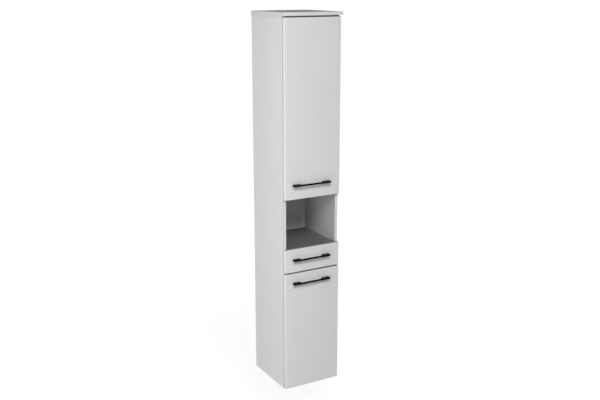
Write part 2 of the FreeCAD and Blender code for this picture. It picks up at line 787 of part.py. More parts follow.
def bumpers():
    """Soft stops on the front edges of the side panels, behind the corners of the fronts."""
    master = new_body("bumper", kept=False)
    profile = draw(master, "XY_Plane", circles=[(("0", "0"), "bumper_diameter")])
    extrude(master, "Pad", profile, "bumper_gap - moving_play")
    bevel(master, "bumper_chamfer", lambda box: box.ZMin > NEAR)
    left = "-(carcass_width / 2 - board / 2)"
    right = "carcass_width / 2 - board / 2"
    drawer_middle = "(drawer_bottom + drawer_top) / 2"
    spots = [
        (left, "bottom_reveal + bumper_inset"),
        (left, "lower_top - bumper_inset"),
        (left, drawer_middle),
        (right, drawer_middle),
        (left, "upper_bottom + bumper_inset"),
        (left, "upper_top - bumper_inset"),
    ]
    group("front_bumpers", master, [((x, "-carcass_depth", z), (0, -1, 0)) for x, z in spots])


def screws():
    """Screws that hold the handles, hinges and hangers, one group for each body that carries them."""
    length = "front_thickness + handle_screw_grip"
    long_screw = screw("handle_screw", "handle_screw_diameter - screw_play", length, "handle_screw_head")
    for label, z in HANDLES.items():
        spots = [(x, "-front_plane", z) for x in handle_holes()]
        group(f"{label}_screws", long_screw, [(spot, (0, 1, 0)) for spot in spots])

    shank = "wood_screw_diameter - screw_play"
    wood_screw = screw("wood_screw", shank, "wood_screw_length", "wood_screw_head")
    for door, heights in HINGES.items():
        spots = [
            ("cup_x", "-(front_plane - flange_thickness)", f"{z} + {step} * cup_screw_spacing / 2")
            for z in heights.values()
            for step in (-1, 1)
        ]
        group(f"hinge_cup_screws_{door}", wood_screw, [(spot, (0, 1, 0)) for spot in spots])
    spots = [
        ("arm_seat_x", "-plate_y", f"{z} + {step} * plate_screw_spacing / 2")
        for z in hinge_heights()
        for step in (-1, 1)
    ]
    group("hinge_plate_screws", wood_screw, [(spot, (-1, 0, 0)) for spot in spots])

    length = "arm_thickness + plate_thickness"
    arm_screw = screw("arm_screw", "arm_screw_diameter - screw_play", length, "arm_screw_head")
    spots = [("arm_seat_x - arm_thickness", "-plate_y + arm_screw_offset", z) for z in hinge_heights()]
    group("hinge_arm_screws", arm_screw, [(spot, (-1, 0, 0)) for spot in spots])

    hanger_screw = screw("hanger_screw", "hanger_screw_diameter", "hanger_screw_length", "hanger_screw_head")
    spots = [
        (f"{hand} * hanger_x", "-(back_face + hanger_depth)", f"hanger_z + {step} * hanger_screw_spacing / 2")
        for hand in SIDES.values()
        for step in (-1, 1)
    ]
    group("hanger_screws", hanger_screw, [(spot, (0, -1, 0)) for spot in spots])


def hinge_pins():
    """The pins that the doors turn on, pressed into the cups."""
    master = new_body("hinge_pin", kept=False)
    profile = draw(master, "XY_Plane", circles=[(("0", "0"), "hinge_pin_diameter")])
    extrude(master, "Pad", profile, "hinge_pin_length")
    for door, heights in HINGES.items():
        spots = [("pivot_x", "-pivot_y", f"{z} - hinge_pin_length / 2") for z in heights.values()]
        group(f"hinge_pins_{door}", master, [(spot, (0, 0, 1)) for spot in spots])


for side, hand in SIDES.items():
    side_panel(hand, f"side_panel_{side}")
flat_board("bottom_panel", "inner_half", "carcass_depth", "0", "0")
flat_board("top_panel", "inner_half", "inner_depth", "back_face", "carcass_height - board")
flat_board("niche_roof", "inner_half", "inner_depth", "back_face", "upper_bottom")
flat_board("niche_floor", "inner_half", "inner_depth", "back_face", "drawer_top - board")
flat_board("drawer_divider", "inner_half", "inner_depth", "back_face", "divider_bottom")
for label, underside in SHELVES.items():
    loose_half = "inner_half - shelf_side_play"
    flat_board(label, loose_half, "inner_depth - shelf_setback", "back_face", underside)
back_panel()
cover_top()
shelf_pins()
for side, hand in SIDES.items():
    hanger(hand, side)
wall_rail()
front(
    "upper_door",
    "upper_bottom",
    "upper_door_height",
    "upper_handle_rise",
    ("hinge_inset", "upper_door_height - hinge_inset"),
)
front("drawer_front", "drawer_bottom", "drawer_front_height", "drawer_handle_rise")
front(
    "lower_door",
    "bottom_reveal",
    "lower_door_height",
    "lower_door_height - lower_handle_drop",
    ("hinge_inset", "lower_door_height - hinge_inset"),
)
for label, height in HANDLES.items():
    handle(label, height)
for door, heights in HINGES.items():
    for end, height in heights.items():
        hinge(door, end, height)
hinge_pins()
for side, hand in SIDES.items():
    drawer_side(hand, f"drawer_side_{side}")
drawer_back_and_bottom()
for side, hand in SIDES.items():
    runner(hand, side)
bumpers()
screws()

doc.recompute()
for item in doc.Objects:
    if {"Invalid", "Error"} & set(item.State):
        raise ValueError(f"{item.Label} failed to build")
for item in pieces:
    if item.Shape.isNull() or not item.Shape.isValid():
        raise ValueError(f"{item.Label} has no valid shape")
os.makedirs("parts", exist_ok=True)
for item in pieces:
    item.Shape.exportStep(f"parts/{item.Label}.step")
print(len(pieces), "nodes,", sum(len(item.Shape.Solids) for item in pieces), "solids")
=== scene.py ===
"""Looks of a wall-hung tall bathroom cabinet: white gloss fronts, black bow handles, bright hinge steel.

Metres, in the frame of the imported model: +X right from the front, +Y to the wall, +Z up.
"""

import json
from math import cos, radians, sin

import bmesh
import bpy
import numpy as np
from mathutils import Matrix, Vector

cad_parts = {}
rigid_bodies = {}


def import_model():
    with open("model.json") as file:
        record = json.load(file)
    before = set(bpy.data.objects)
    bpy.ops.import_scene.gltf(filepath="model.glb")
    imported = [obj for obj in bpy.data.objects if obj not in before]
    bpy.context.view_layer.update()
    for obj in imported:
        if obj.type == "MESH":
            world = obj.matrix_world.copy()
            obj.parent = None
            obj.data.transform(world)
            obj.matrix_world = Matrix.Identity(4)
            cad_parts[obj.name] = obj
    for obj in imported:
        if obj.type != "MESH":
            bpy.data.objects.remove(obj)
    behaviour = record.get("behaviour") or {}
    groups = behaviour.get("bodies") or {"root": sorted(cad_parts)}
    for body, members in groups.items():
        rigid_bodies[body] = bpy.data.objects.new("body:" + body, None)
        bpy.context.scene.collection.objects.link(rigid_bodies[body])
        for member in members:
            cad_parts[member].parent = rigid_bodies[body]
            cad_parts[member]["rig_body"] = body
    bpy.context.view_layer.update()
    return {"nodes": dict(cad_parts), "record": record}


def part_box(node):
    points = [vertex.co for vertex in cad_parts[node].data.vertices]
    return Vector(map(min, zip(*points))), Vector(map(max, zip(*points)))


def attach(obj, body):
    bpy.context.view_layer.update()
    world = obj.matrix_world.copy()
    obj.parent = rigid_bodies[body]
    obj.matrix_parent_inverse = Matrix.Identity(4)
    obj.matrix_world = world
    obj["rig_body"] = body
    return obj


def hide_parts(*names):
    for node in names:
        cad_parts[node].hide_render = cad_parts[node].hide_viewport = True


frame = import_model()
NODES = frame["nodes"]

# The photograph's viewpoint: a 50 mm lens on a 36 mm wide frame, in front of the left side and above.
CAMERA_PLACE = (-1.9472, -3.6084, 1.9317)
CAMERA_YAW = 29.735
CAMERA_PITCH = 14.43
CAMERA_LENS = 50.0
SENSOR_WIDTH = 36.0

# The cabinet hangs on a wall, so the floor lies under it and not against it.
FLOOR_DROP = 0.22
FLOOR_SIZE = 400.0
FLOOR_TONE = 0.6
# The floor's own white to the camera, and its share at two distances in metres: less near the cabinet, so
# that the shadow shows.
FLOOR_GLOW = 1.2
FLOOR_NEAR = (1.0, 0.76)
FLOOR_FAR = (3.0, 0.85)

# Lamps are aimed at the middle of the cabinet.
LAMP_AIM = (0.0, -0.16, 0.9)
# Name, azimuth, elevation, distance, width, height, watts.
LAMPS = (
    ("key_panel", -15.0, 42.0, 16.0, 5.6, 5.0, 1425.0),
    ("left_strip", -50.0, 10.0, 1.4, 0.5, 2.6, 11.5),
    ("left_panel", -115.0, 0.0, 5.0, 3.0, 3.0, 72.0),
    ("right_panel", 100.0, 5.0, 5.0, 3.0, 3.0, 110.0),
    ("rear_panel", 170.0, 5.0, 5.0, 3.0, 3.0, 70.0),
)
WORLD_FILL = 0.01

# Linear tones: the white film; the fronts' level edge bands, grey as painted shade, and upright edge bands,
# white as a painted highlight; the joint line beside an edge band, dark as painted shade of the gap; the
# cover's level faces, grey as painted shade; the facings inside, which are a little blue and partly grey as
# painted shade of the niche; the niche floor, dark as painted shade; then the handles' black, the metals, the
# plastic and the clear rubber, with a pair where the tone varies.
WHITE = 0.76
EDGE_SHADE_GREY = 0.25
EDGE_HIGHLIGHT_WHITE = 0.85
JOINT_GAP_SHADE_GREY = 0.16
COVER_SHADE_GREY = 0.54
INNER_GREY_AND_SHADE = 0.55
NICHE_FLOOR_SHADE_GREY = 0.14
BACK_GREY = 0.78
INNER_TINT = 0.012
HANDLE_BLACK = (0.002, 0.004)
NICKEL_TONE = 0.72
ZINC_TONES = (0.52, 0.62)
PLASTIC_GREY = 0.55
RUBBER_TONES = (0.68, 0.76)
# White film: roughness, shine of the sides and of the fronts, and the fine ripple of the pressed film.
FILM_ROUGHNESS = 0.3
SIDE_SHINE = 0.25
FRONT_SHINE = 0.08
FILM_RIPPLE = 400.0
FILM_RIPPLE_DEPTH = 0.00001
# Rounds on the edges of the boards, the cover, and the fronts' faces and backs.
BOARD_ROUND = 0.001
COVER_ROUND = 0.0015
FACE_ROUND = 0.0025
REAR_ROUND = 0.002
# Where the bands of painted shade and highlight and the joint of painted gap shade begin and are full, as
# shares of a round's depth.
LEVEL_SHADE_SPAN = (0.4, 0.1)
UPRIGHT_HIGHLIGHT_SPAN = (0.7, 0.4)
JOINT_SHADE_SPAN = (0.9, 0.6)
# The side boards' inner facing lies within this distance of the middle plane, and is duller than the film.
INNER_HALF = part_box("bottom_panel")[1].x + 0.0003
INNER_DULLER = 0.2

# Bare pressed wood: chips on the boards' edges at the wall, finer fibre on the back board's rear face.
WOOD_DARK = (0.29, 0.17, 0.08)
WOOD_PALE = (0.5, 0.34, 0.19)
CHIP_GRAIN = 350.0
FIBRE_GRAIN = 900.0
WALL_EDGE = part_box("side_panel_left")[1].y - 0.0006
BACK_MIDDLE = sum(corner.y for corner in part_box("back_panel")) / 2

# Bow handles: leg width, bar depth, outer and inner corners in plan, and the round on every edge.
HANDLE_LEG = 0.04
HANDLE_BAR = 0.007
HANDLE_END_ROUND = 0.002
HANDLE_INNER_ROUND = 0.003
HANDLE_EDGE_ROUND = 0.0008

# Screws, stops and pegs: height of a screw head, widths of the shanks, sides of every round, and the angle
# above which an edge is drawn sharp.
SCREW_HEAD = 0.002
HANDLE_SHANK = 0.0039
HINGE_SHANK = 0.0034
HANGER_SHANK = 0.005
ROUND_SIDES = 48
SHARP_ANGLE = 38.0


def new_material(name):
    """An empty node material: its nodes, its links and its one surface shader."""
    material = bpy.data.materials.new(name)
    material.use_nodes = True
    tree = material.node_tree
    return material, tree.nodes, tree.links, tree.nodes["Principled BSDF"]


def object_noise(nodes, links, per_metre, detail=2.0, stretch=(1.0, 1.0, 1.0)):
    """Noise in the piece's own coordinates: so many waves to the metre, stretched along the axes."""
    coordinates = nodes.new("ShaderNodeTexCoord")
    mapping = nodes.new("ShaderNodeMapping")
    mapping.inputs["Scale"].default_value = stretch
    noise = nodes.new("ShaderNodeTexNoise")
    noise.inputs["Scale"].default_value = per_metre
    noise.inputs["Detail"].default_value = detail
    links.new(coordinates.outputs["Object"], mapping.inputs["Vector"])
    links.new(mapping.outputs["Vector"], noise.inputs["Vector"])
    return noise.outputs["Fac"]


def spread(nodes, links, value, low, high):
    """The noise's usual range, 0.3 to 0.7, mapped to low and high."""
    span = nodes.new("ShaderNodeMapRange")
    span.inputs["From Min"].default_value = 0.3
    span.inputs["From Max"].default_value = 0.7
    span.inputs["To Min"].default_value = low
    span.inputs["To Max"].default_value = high
    links.new(value, span.inputs["Value"])
    return span.outputs["Result"]


def two_tones(nodes, links, value, dark, light):
    """A colour between two tones."""
    mix = nodes.new("ShaderNodeMix")
    mix.data_type = "RGBA"
    mix.inputs["A"].default_value = (*dark, 1.0)
    mix.inputs["B"].default_value = (*light, 1.0)
    links.new(value, mix.inputs["Factor"])
    return mix.outputs["Result"]


def blend_colours(nodes, links, factor, first, second):
    """A colour that goes from one colour output to another with a factor."""
    mix = nodes.new("ShaderNodeMix")
    mix.data_type = "RGBA"
    links.new(factor, mix.inputs["Factor"])
    links.new(first, mix.inputs["A"])
    links.new(second, mix.inputs["B"])
    return mix.outputs["Result"]


def relief(nodes, links, shader, height, depth, strength):
    """A bump of a given depth in metres on the shader's normal."""
    bump = nodes.new("ShaderNodeBump")
    bump.inputs["Strength"].default_value = strength
    bump.inputs["Distance"].default_value = depth
    links.new(height, bump.inputs["Height"])
    links.new(bump.outputs["Normal"], shader.inputs["Normal"])


def grey(value, tint=0.0):
    """A neutral colour, a little bluer where tint is above zero."""
    return (value * (1 - tint), value, value * (1 + tint))


def film_ripple(nodes, links, shader, shine):
    """The fine ripple and the shine of a pressed film."""
    ripple = object_noise(nodes, links, FILM_RIPPLE, detail=1.0)
    relief(nodes, links, shader, ripple, depth=FILM_RIPPLE_DEPTH, strength=0.5)
    shader.inputs["Specular IOR Level"].default_value = shine


def white_film(name, tone, roughness, shine):
    """White film on board: a faint cloud in the tone, wipe marks in the gloss and a fine ripple."""
    material, nodes, links, shader = new_material(name)
    cloud = spread(nodes, links, object_noise(nodes, links, 3.0), 0.0, 1.0)
    film = two_tones(nodes, links, cloud, grey(tone * 0.995), grey(tone * 1.005))
    links.new(film, shader.inputs["Base Color"])
    wipe = object_noise(nodes, links, 9.0, stretch=(1.0, 1.0, 0.25))
    links.new(spread(nodes, links, wipe, roughness * 0.92, roughness * 1.08), shader.inputs["Roughness"])
    film_ripple(nodes, links, shader, shine)
    return material


def object_axis(nodes, links, axis):
    """One of the three Object coordinates of a point."""
    coordinates = nodes.new("ShaderNodeTexCoord")
    axes = nodes.new("ShaderNodeSeparateXYZ")
    links.new(coordinates.outputs["Object"], axes.inputs["Vector"])
    return axes.outputs[axis]


def ramp(nodes, links, value, zero, one):
    """A value mapped from zero at one place to one at another, and held beyond both."""
    span = nodes.new("ShaderNodeMapRange")
    span.inputs["From Min"].default_value = zero
    span.inputs["From Max"].default_value = one
    links.new(value, span.inputs["Value"])
    return span.outputs["Result"]


def end_share(nodes, links, node, axis, outer, inner):
    """One on a piece's two ends along an axis, out to the depth inner, and zero from the depth outer on."""
    low, high = (corner["XYZ".index(axis)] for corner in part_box(node))
    offset = nodes.new("ShaderNodeMath")
    offset.operation = "SUBTRACT"
    offset.inputs[1].default_value = (low + high) / 2
    away = nodes.new("ShaderNodeMath")
    away.operation = "ABSOLUTE"
    links.new(object_axis(nodes, links, axis), offset.inputs[0])
    links.new(offset.outputs["Value"], away.inputs[0])
    half = (high - low) / 2
    return ramp(nodes, links, away.outputs["Value"], half - outer, half - inner)


def corner_share(nodes, links, node, edge_round, rear):
    """One on a piece's rounded upright edges, at its rear or its front, and zero on the flats beside them.

    It is the product of two ramps over the round, one from the sides and one from the rear or the front.
    """
    outer, inner = JOINT_SHADE_SPAN[0] * edge_round, JOINT_SHADE_SPAN[1] * edge_round
    low, high = (corner.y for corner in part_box(node))
    place = object_axis(nodes, links, "Y")
    if rear:
        depth = ramp(nodes, links, place, high - outer, high - inner)
    else:
        depth = ramp(nodes, links, place, low + outer, low + inner)
    product = nodes.new("ShaderNodeMath")
    product.operation = "MULTIPLY"
    links.new(depth, product.inputs[0])
    links.new(end_share(nodes, links, node, "X", outer, inner), product.inputs[1])
    return product.outputs["Value"]


def joint_and_gap_shade(nodes, links, cloud):
    """The dark grey of the thin joint between film and edge band, darkened as painted shade of the gap."""
    return two_tones(nodes, links, cloud, grey(JOINT_GAP_SHADE_GREY), grey(JOINT_GAP_SHADE_GREY * 1.02))


def level_shade_band(nodes, links, node, edge_round, tone, cloud, film):
    """The film's colour, and a band of another tone on a piece's top and bottom: painted shade."""
    band = two_tones(nodes, links, cloud, grey(tone * 0.97), grey(tone * 1.03))
    share = end_share(nodes, links, node, "Z", LEVEL_SHADE_SPAN[0] * edge_round, LEVEL_SHADE_SPAN[1] * edge_round)
    return blend_colours(nodes, links, share, film, band)


def cover_film(node):
    """The cover plate: matt white film on its edges, grey above and below as painted shade.

    A dark joint, partly painted shade, runs along its rear corners.
    """
    material = white_film(f"{node}_matt_film", WHITE, roughness=0.5, shine=0.0)
    nodes, links = material.node_tree.nodes, material.node_tree.links
    base = nodes["Principled BSDF"].inputs["Base Color"]
    film = base.links[0].from_socket
    cloud = spread(nodes, links, object_noise(nodes, links, 60.0), 0.0, 1.0)
    corner = corner_share(nodes, links, node, COVER_ROUND, rear=True)
    sides = blend_colours(nodes, links, corner, film, joint_and_gap_shade(nodes, links, cloud))
    links.new(level_shade_band(nodes, links, node, COVER_ROUND, COVER_SHADE_GREY, cloud, sides), base)
    return material


def banded_front(node):
    """A front: white film on its faces, whiter bands on its upright edges as a painted highlight and greyer
    ones on its level edges as painted shade.

    The joint between film and band shows on the rounded upright edges at the rear, dark as painted shade of
    the gap beside the front.
    """
    material = white_film(f"{node}_white_film", WHITE, FILM_ROUGHNESS, FRONT_SHINE)
    nodes, links = material.node_tree.nodes, material.node_tree.links
    base = nodes["Principled BSDF"].inputs["Base Color"]
    film = base.links[0].from_socket
    cloud = spread(nodes, links, object_noise(nodes, links, 60.0), 0.0, 1.0)
    # The upright bands are whiter as a painted highlight on the fronts' side edges.
    upright = two_tones(nodes, links, cloud, grey(EDGE_HIGHLIGHT_WHITE * 0.99), grey(EDGE_HIGHLIGHT_WHITE * 1.01))
    share = end_share(nodes, links, node, "X", UPRIGHT_HIGHLIGHT_SPAN[0] * FACE_ROUND, UPRIGHT_HIGHLIGHT_SPAN[1] * FACE_ROUND)
    sides = blend_colours(nodes, links, share, film, upright)
    corner = corner_share(nodes, links, node, REAR_ROUND, rear=True)
    sides = blend_colours(nodes, links, corner, sides, joint_and_gap_shade(nodes, links, cloud))
    # The grey level bands are painted shade on the fronts' top and bottom edges and in the gaps between them.
    links.new(level_shade_band(nodes, links, node, FACE_ROUND, EDGE_SHADE_GREY, cloud, sides), base)
    return material


def behind_share(nodes, links, depth):
    """One where a point lies further back than a depth, and zero in front of it."""
    behind = nodes.new("ShaderNodeMath")
    behind.operation = "GREATER_THAN"
    behind.inputs[1].default_value = depth
    links.new(object_axis(nodes, links, "Y"), behind.inputs[0])
    return behind.outputs["Value"]


def pressed_wood(nodes, links, grain):
    """The brown of bare pressed wood: pale and dark chips of a grain given in waves to the metre."""
    chips = object_noise(nodes, links, grain, detail=5.0)
    return two_tones(nodes, links, spread(nodes, links, chips, 0.0, 1.0), WOOD_DARK, WOOD_PALE)


def inside_share(nodes, links, half_width):
    """One where a point lies within half_width of the cabinet's middle plane, and zero outside."""
    size = nodes.new("ShaderNodeMath")
    size.operation = "ABSOLUTE"
    inside = nodes.new("ShaderNodeMath")
    inside.operation = "LESS_THAN"
    inside.inputs[1].default_value = half_width
    links.new(object_axis(nodes, links, "X"), size.inputs[0])
    links.new(size.outputs["Value"], inside.inputs[0])
    return inside.outputs["Value"]


def side_film(node):
    """A side board: white film outside, satin grey facing inside, partly painted shade of the niche, bare
    chipboard on the edge at the wall.

    A thin dark joint runs along the rounded upright edges at the front, where film and edge band meet; it is
    painted shade of the gap between the board and the doors.
    """
    material, nodes, links, shader = new_material(f"{node}_white_film")
    inside = inside_share(nodes, links, INNER_HALF)
    cloud = spread(nodes, links, object_noise(nodes, links, 3.0), 0.995, 1.005)
    # Inside, the facing is a light grey finish that is partly painted shade of the niche.
    facing = two_tones(nodes, links, inside, grey(WHITE), grey(INNER_GREY_AND_SHADE, INNER_TINT))
    shade = nodes.new("ShaderNodeMix")
    shade.data_type = "RGBA"
    shade.blend_type = "MULTIPLY"
    shade.inputs["Factor"].default_value = 1.0
    links.new(facing, shade.inputs["A"])
    links.new(cloud, shade.inputs["B"])
    bare = pressed_wood(nodes, links, CHIP_GRAIN)
    rear = behind_share(nodes, links, WALL_EDGE)
    # The dark joint on the front edge is painted shade of the gap between this board and the doors.
    joint = joint_and_gap_shade(nodes, links, cloud)
    corner = corner_share(nodes, links, node, BOARD_ROUND, rear=False)
    film = blend_colours(nodes, links, corner, shade.outputs["Result"], joint)
    links.new(blend_colours(nodes, links, rear, film, bare), shader.inputs["Base Color"])
    wipe = object_noise(nodes, links, 9.0, stretch=(1.0, 1.0, 0.25))
    dull = nodes.new("ShaderNodeMath")
    dull.operation = "MULTIPLY_ADD"
    dull.inputs[1].default_value = INNER_DULLER
    links.new(inside, dull.inputs[0])
    links.new(spread(nodes, links, wipe, FILM_ROUGHNESS - 0.02, FILM_ROUGHNESS + 0.02), dull.inputs[2])
    links.new(dull.outputs["Value"], shader.inputs["Roughness"])
    film_ripple(nodes, links, shader, SIDE_SHINE)
    return material


def satin_melamine(name, tone, bare_from=None, bare_grain=None):
    """Satin board facing with a fine pearl grain; behind a given depth the board is bare pressed wood."""
    material, nodes, links, shader = new_material(name)
    cloud = spread(nodes, links, object_noise(nodes, links, 5.0, detail=3.0), 0.0, 1.0)
    facing = two_tones(nodes, links, cloud, grey(tone * 0.97, INNER_TINT), grey(tone * 1.02, INNER_TINT))
    if bare_grain:
        bare = pressed_wood(nodes, links, bare_grain)
        facing = blend_colours(nodes, links, behind_share(nodes, links, bare_from), facing, bare)
    links.new(facing, shader.inputs["Base Color"])
    patches = object_noise(nodes, links, 40.0)
    links.new(spread(nodes, links, patches, 0.42, 0.52), shader.inputs["Roughness"])
    pearl = object_noise(nodes, links, 900.0)
    relief(nodes, links, shader, pearl, depth=0.00006, strength=0.6)
    shader.inputs["Specular IOR Level"].default_value = 0.3
    return material


def black_gloss(name):
    """Gloss black coat on the handles, with faint wipe marks in the shine."""
    material, nodes, links, shader = new_material(name)
    cloud = spread(nodes, links, object_noise(nodes, links, 30.0), 0.0, 1.0)
    colour = two_tones(nodes, links, cloud, grey(HANDLE_BLACK[0]), grey(HANDLE_BLACK[1], 0.05))
    links.new(colour, shader.inputs["Base Color"])
    wipe = object_noise(nodes, links, 120.0, stretch=(0.2, 1.0, 1.0))
    links.new(spread(nodes, links, wipe, 0.3, 0.42), shader.inputs["Roughness"])
    flow = object_noise(nodes, links, 500.0, detail=1.0)
    relief(nodes, links, shader, flow, depth=0.00001, strength=0.4)
    shader.inputs["Specular IOR Level"].default_value = 0.04
    return material


def nickel_steel(name, tone, roughness):
    """Bright nickel on stamped steel: faint drawn lines in the roughness and shallow dents."""
    material, nodes, links, shader = new_material(name)
    cloud = spread(nodes, links, object_noise(nodes, links, 25.0), 0.0, 1.0)
    colour = two_tones(nodes, links, cloud, grey(tone * 0.95, 0.01), grey(tone * 1.04))
    links.new(colour, shader.inputs["Base Color"])
    drawn = object_noise(nodes, links, 700.0, stretch=(1.0, 0.06, 1.0))
    links.new(spread(nodes, links, drawn, roughness * 0.94, roughness * 1.08), shader.inputs["Roughness"])
    dents = object_noise(nodes, links, 300.0, detail=1.0)
    relief(nodes, links, shader, dents, depth=0.00001, strength=0.4)
    shader.inputs["Metallic"].default_value = 1.0
    return material


def zinc_steel(name):
    """Zinc-coated sheet: fine grey crystal patches, each a little lighter or duller."""
    material, nodes, links, shader = new_material(name)
    coordinates = nodes.new("ShaderNodeTexCoord")
    crystals = nodes.new("ShaderNodeTexVoronoi")
    crystals.inputs["Scale"].default_value = 420.0
    links.new(coordinates.outputs["Object"], crystals.inputs["Vector"])
    patch = nodes.new("ShaderNodeSeparateColor")
    links.new(crystals.outputs["Color"], patch.inputs["Color"])
    dull, bright = grey(ZINC_TONES[0], 0.02), grey(ZINC_TONES[1], 0.03)
    tone = two_tones(nodes, links, patch.outputs["Red"], dull, bright)
    links.new(tone, shader.inputs["Base Color"])
    links.new(spread(nodes, links, patch.outputs["Green"], 0.34, 0.42), shader.inputs["Roughness"])
    coat = object_noise(nodes, links, 500.0)
    relief(nodes, links, shader, coat, depth=0.00002, strength=0.4)
    shader.inputs["Metallic"].default_value = 1.0
    return material


def grey_plastic(name, tone):
    """Moulded plastic with a fine spark-eroded grain."""
    material, nodes, links, shader = new_material(name)
    cloud = spread(nodes, links, object_noise(nodes, links, 60.0), 0.0, 1.0)
    colour = two_tones(nodes, links, cloud, grey(tone * 0.96), grey(tone * 1.03))
    links.new(colour, shader.inputs["Base Color"])
    patches = object_noise(nodes, links, 200.0)
    links.new(spread(nodes, links, patches, 0.38, 0.5), shader.inputs["Roughness"])
    sparks = object_noise(nodes, links, 2500.0)
    relief(nodes, links, shader, sparks, depth=0.00005, strength=0.5)
    return material


def clear_rubber():
    """Soft clear rubber: milky, with a fine haze in its gloss."""
    material, nodes, links, shader = new_material("clear_stop_rubber")
    haze = spread(nodes, links, object_noise(nodes, links, 400.0), 0.0, 1.0)
    milk = two_tones(nodes, links, haze, grey(RUBBER_TONES[0]), grey(RUBBER_TONES[1]))
    links.new(milk, shader.inputs["Base Color"])
    gloss = object_noise(nodes, links, 900.0)
    links.new(spread(nodes, links, gloss, 0.22, 0.34), shader.inputs["Roughness"])
    skin = object_noise(nodes, links, 1200.0)
    relief(nodes, links, shader, skin, depth=0.00002, strength=0.5)
    shader.inputs["Subsurface Weight"].default_value = 0.4
    shader.inputs["Subsurface Radius"].default_value = (0.002, 0.002, 0.002)
    return material


# Finishes by slot, and those of single pieces: the fronts, sides and cover with their edge bands, which
# carry painted shade and a painted highlight, the niche's floor, dark as painted shade, and its paler back,
# and the zinc-coated sheets.
MATERIALS = {
    # The inner boards' grey is a light grey finish that is partly painted shade of the niche.
    "inner_board": satin_melamine("inner_grey_and_shade_melamine", INNER_GREY_AND_SHADE, WALL_EDGE, CHIP_GRAIN),
    "drawer_board": satin_melamine("drawer_grey_melamine", INNER_GREY_AND_SHADE),
    "handle_black": black_gloss("handle_black_gloss"),
    "bright_steel": nickel_steel("hinge_nickel", NICKEL_TONE, roughness=0.3),
    "grey_plastic": grey_plastic("moulded_grey_plastic", PLASTIC_GREY),
}
FINISHES = {
    # The cover's grey top and bottom are painted shade.
    "cover_top": cover_film("cover_top"),
    # The niche floor's dark grey is painted shade of the recess.
    "niche_floor": satin_melamine("niche_floor_shade_melamine", NICHE_FLOOR_SHADE_GREY),
    "back_panel": satin_melamine("back_board_facing", BACK_GREY, BACK_MIDDLE, FIBRE_GRAIN),
}
FINISHES.update({front: banded_front(front) for front in ("upper_door", "drawer_front", "lower_door")})
FINISHES.update({side: side_film(side) for side in ("side_panel_left", "side_panel_right")})
ZINC_SHEETS = ("hanger_hook", "runner_cabinet_rail", "runner_middle_rail", "runner_drawer_rail")
ZINC = zinc_steel("zinc_coated_sheet")
FINISHES["wall_rail"] = ZINC
FINISHES.update({f"{sheet}_{side}": ZINC for sheet in ZINC_SHEETS for side in ("left", "right")})
for row in frame["record"]["subparts"]:
    mesh = NODES[row["node"]].data
    mesh.materials.clear()
    if row["node"] in FINISHES:
        mesh.materials.append(FINISHES[row["node"]])
    else:
        mesh.materials.append(MATERIALS[row["material_slot"]])


def solid_boxes(node):
    """The low and high corners of each separate solid of a node.

    Triangle corners that share a place are one point; every point starts with its own number, each triangle
    hands its lowest number to its corners until nothing changes, and equal numbers are one solid.
    """
    mesh = NODES[node].data
    places = np.empty(len(mesh.vertices) * 3)
    mesh.vertices.foreach_get("co", places)
    places = places.reshape(-1, 3)
    mesh.calc_loop_triangles()
    corners = np.empty(len(mesh.loop_triangles) * 3, int)
    mesh.loop_triangles.foreach_get("vertices", corners)
    points, number = np.unique(np.round(places, 7), axis=0, return_inverse=True)
    triangles = number.reshape(-1)[corners].reshape(-1, 3)
    label = np.arange(len(points))
    before = None
    while before is None or (label != before).any():
        before = label.copy()
        lowest = label[triangles].min(axis=1)
        for corner in range(3):
            np.minimum.at(label, triangles[:, corner], lowest)
        label = label[label]
    groups = [points[label == value] for value in np.unique(label)]
    return [(group.min(axis=0), group.max(axis=0)) for group in groups]


def ring_faces(rows, columns):
    """Four-cornered faces of a grid of points in row order, each row closed on itself."""
    row = np.arange(rows - 1)[:, None] * columns
    here = np.arange(columns)[None, :]
    following = (here + 1) % columns
    corners = [row + here, row + following, row + columns + following, row + columns + here]
    return np.stack(corners, axis=-1).reshape(-1, 4)


def new_piece(name, grids, node, material):
    """One object of several closed grids, merged at their poles, faces outwards, for one CAD node."""
    firsts = np.cumsum([0] + [grid.shape[0] * grid.shape[1] for grid in grids])
    points = np.concatenate([grid.reshape(-1, 3) for grid in grids])
    faces = np.concatenate([ring_faces(*grid.shape[:2]) + first for grid, first in zip(grids, firsts)])
    mesh = bpy.data.meshes.new(name)
    mesh.from_pydata(points.tolist(), [], faces.tolist())
    work = bmesh.new()
    work.from_mesh(mesh)
    bmesh.ops.remove_doubles(work, verts=work.verts, dist=1e-7)
    bmesh.ops.recalc_face_normals(work, faces=work.faces)
    work.to_mesh(mesh)
    work.free()
    mesh.shade_smooth()
    mesh.set_sharp_from_angle(angle=radians(SHARP_ANGLE))
    mesh.materials.append(material)
    piece = bpy.data.objects.new(name, mesh)
    bpy.context.scene.collection.objects.link(piece)
    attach(piece, NODES[node]["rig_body"])
    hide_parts(node)


def straight_run(start, end, outward, steps):
    """Plan points from start to end in equal steps, without the last, each with its outward direction."""
    share = np.arange(steps)[:, None] / steps
    places = np.array(start) + share * (np.array(end) - np.array(start))
    return np.hstack([places, np.tile(outward, (steps, 1))])


def corner_run(centre, radius, facing, steps):
    """Plan points of a quarter circle from its left to its front, without the last, with outward directions.

    Facing is 1 where the metal lies inside the circle and -1 where it lies outside.
    """
    angle = np.radians(180 + 90 * np.arange(steps) / steps)
    spoke = np.column_stack([np.cos(angle), np.sin(angle)])
    return np.hstack([np.array(centre) + radius * spoke, facing * spoke])


